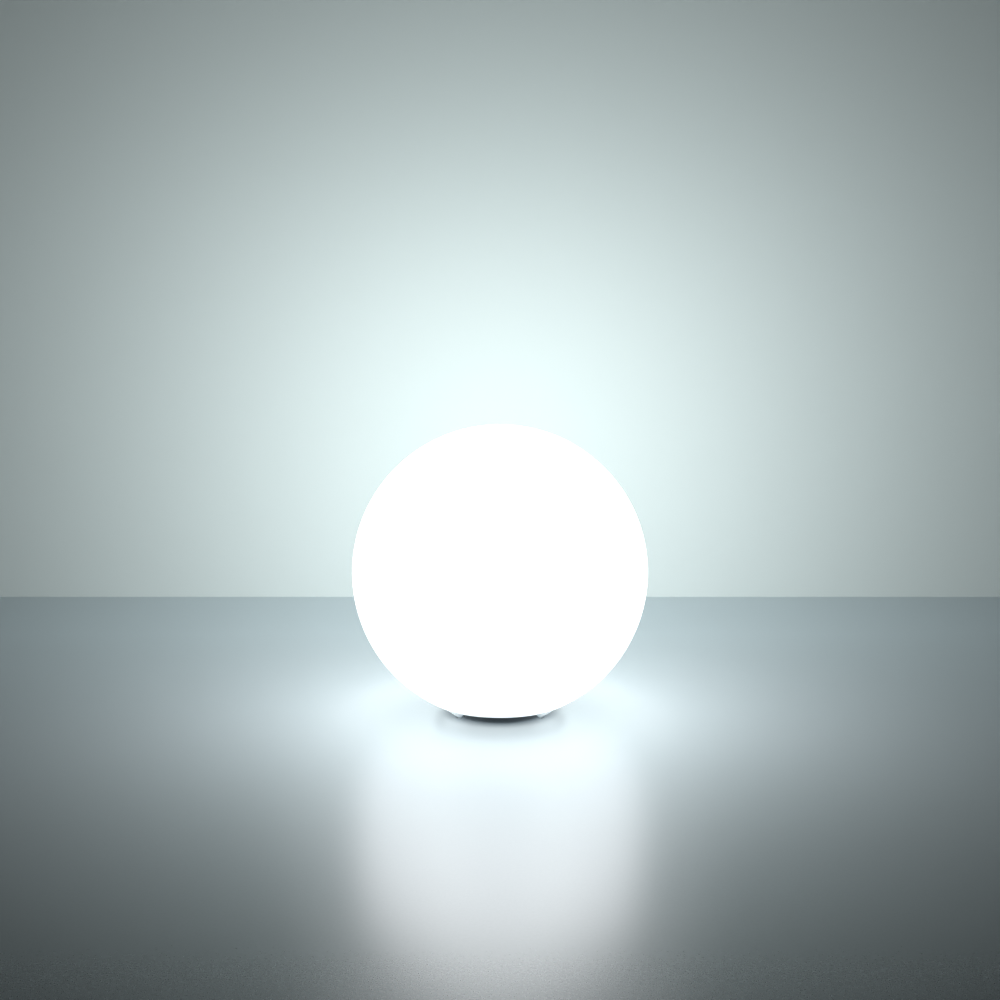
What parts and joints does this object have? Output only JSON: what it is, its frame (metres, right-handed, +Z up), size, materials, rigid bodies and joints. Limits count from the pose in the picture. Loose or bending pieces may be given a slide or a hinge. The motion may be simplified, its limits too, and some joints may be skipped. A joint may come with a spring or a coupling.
{
  "type": "floating globe light",
  "caption": "Glowing white globe light with a flat underside on small feet; the globe twists and lifts off a sealed battery and LED module.",
  "frame": {"origin": "on the floor, under the middle of the globe", "axes": "+Z up; -Y is the front, which faces between two of the feet; the third foot is at +Y"},
  "size_m": [0.3, 0.2998, 0.2957],
  "materials": {
    "globe_plastic": "translucent white polyethylene, lit from inside",
    "module_plastic": "white moulded ABS, fine satin texture",
    "diffuser_plastic": "frosted white polycarbonate",
    "foot_silicone": "frosted translucent silicone",
    "pad_silicone": "clear-white silicone, matt",
    "gasket_rubber": "grey silicone",
    "button_plastic": "soft-touch pale grey",
    "stopper_rubber": "grey silicone",
    "screw_steel": "stainless",
    "spring_steel": "polished spring steel",
    "ballast_steel": "zinc-plated",
    "spreader_aluminium": "turned face",
    "board_green": "solder mask",
    "board_white": "white solder mask on an aluminium core",
    "chip_black": "moulded epoxy",
    "connector_plastic": "cream nylon",
    "cell_wrap": "blue shrink wrap",
    "nickel": "nickel strip",
    "cradle_plastic": "black nylon",
    "lead_insulation": "silicone-insulated lead",
    "emitter_plastic": "white PPA package",
    "phosphor": "phosphor silicone",
    "light_pipe_plastic": "clear acrylic",
    "pad_thermal": "filled silicone sheet",
    "infrared_plastic": "dark infrared-pass epoxy",
    "reflector_plastic": "high-reflectance white",
    "dull_steel": "stainless strip"
  },
  "bodies": {
    "base": {"base_housing": "module_plastic", "base_plate": "module_plastic", "plate_gasket": "gasket_rubber", "plate_screws": "screw_steel", "ballast_ring": "ballast_steel", "feet": "foot_silicone", "foot_pads": "pad_silicone", "foot_screws": "screw_steel", "button_spring": "spring_steel", "button_seal": "gasket_rubber", "tact_switch": "chip_black", "port_seal": "gasket_rubber", "charge_jack": "chip_black", "jack_pin": "nickel", "charge_led": "phosphor", "charge_light_pipe": "light_pipe_plastic", "control_board": "board_green", "board_components": "chip_black", "board_connectors": "connector_plastic", "board_screws": "screw_steel", "battery_cells": "cell_wrap", "battery_tabs": "nickel", "battery_cradle": "cradle_plastic", "battery_strap": "dull_steel", "strap_screws": "screw_steel", "battery_leads": "lead_insulation", "heat_spreader": "spreader_aluminium", "spreader_screws": "screw_steel", "thermal_pad": "pad_thermal", "led_board": "board_white", "led_board_screws": "screw_steel", "led_emitters": "emitter_plastic", "led_lenses": "phosphor", "ir_receiver": "infrared_plastic", "reflector": "reflector_plastic", "dome_gasket": "gasket_rubber", "diffuser_dome": "diffuser_plastic", "dome_screws": "screw_steel", "led_leads": "lead_insulation"},
    "seal": {"globe_seal": "gasket_rubber"},
    "globe": {"globe_shell": "globe_plastic", "neck_ring": "module_plastic", "neck_gasket": "gasket_rubber", "neck_screws": "screw_steel"},
    "button": {"power_button": "button_plastic", "button_clip": "spring_steel"},
    "plunger": {"switch_plunger": "emitter_plastic"},
    "stopper": {"port_stopper": "stopper_rubber"}
  },
  "joints": [
    {"name": "globe_twist", "type": "hinge", "parent": "base", "child": "seal", "pos_m": [0, 0, 0.0155], "axis": [0, 0, -1], "range_deg": [0, 30]},
    {"name": "globe_lift", "type": "slide", "parent": "seal", "child": "globe", "axis": [0, 0, 1], "range_m": [0, 0.09]},
    {"name": "button_press", "type": "slide", "parent": "base", "child": "button", "axis": [0, 0, 1], "range_m": [0, 0.0012], "stiffness_N_per_m": 500, "deforming": ["button_spring"]},
    {"name": "plunger_press", "type": "slide", "parent": "base", "child": "plunger", "axis": [0, 0, 1], "range_m": [0, 0.0012]},
    {"name": "stopper_pull", "type": "slide", "parent": "base", "child": "stopper", "axis": [0, 0, -1], "range_m": [0, 0.009]}
  ],
  "couplings": [
    {"joint": "plunger_press", "follows": "button_press", "ratio": 1}
  ]
}
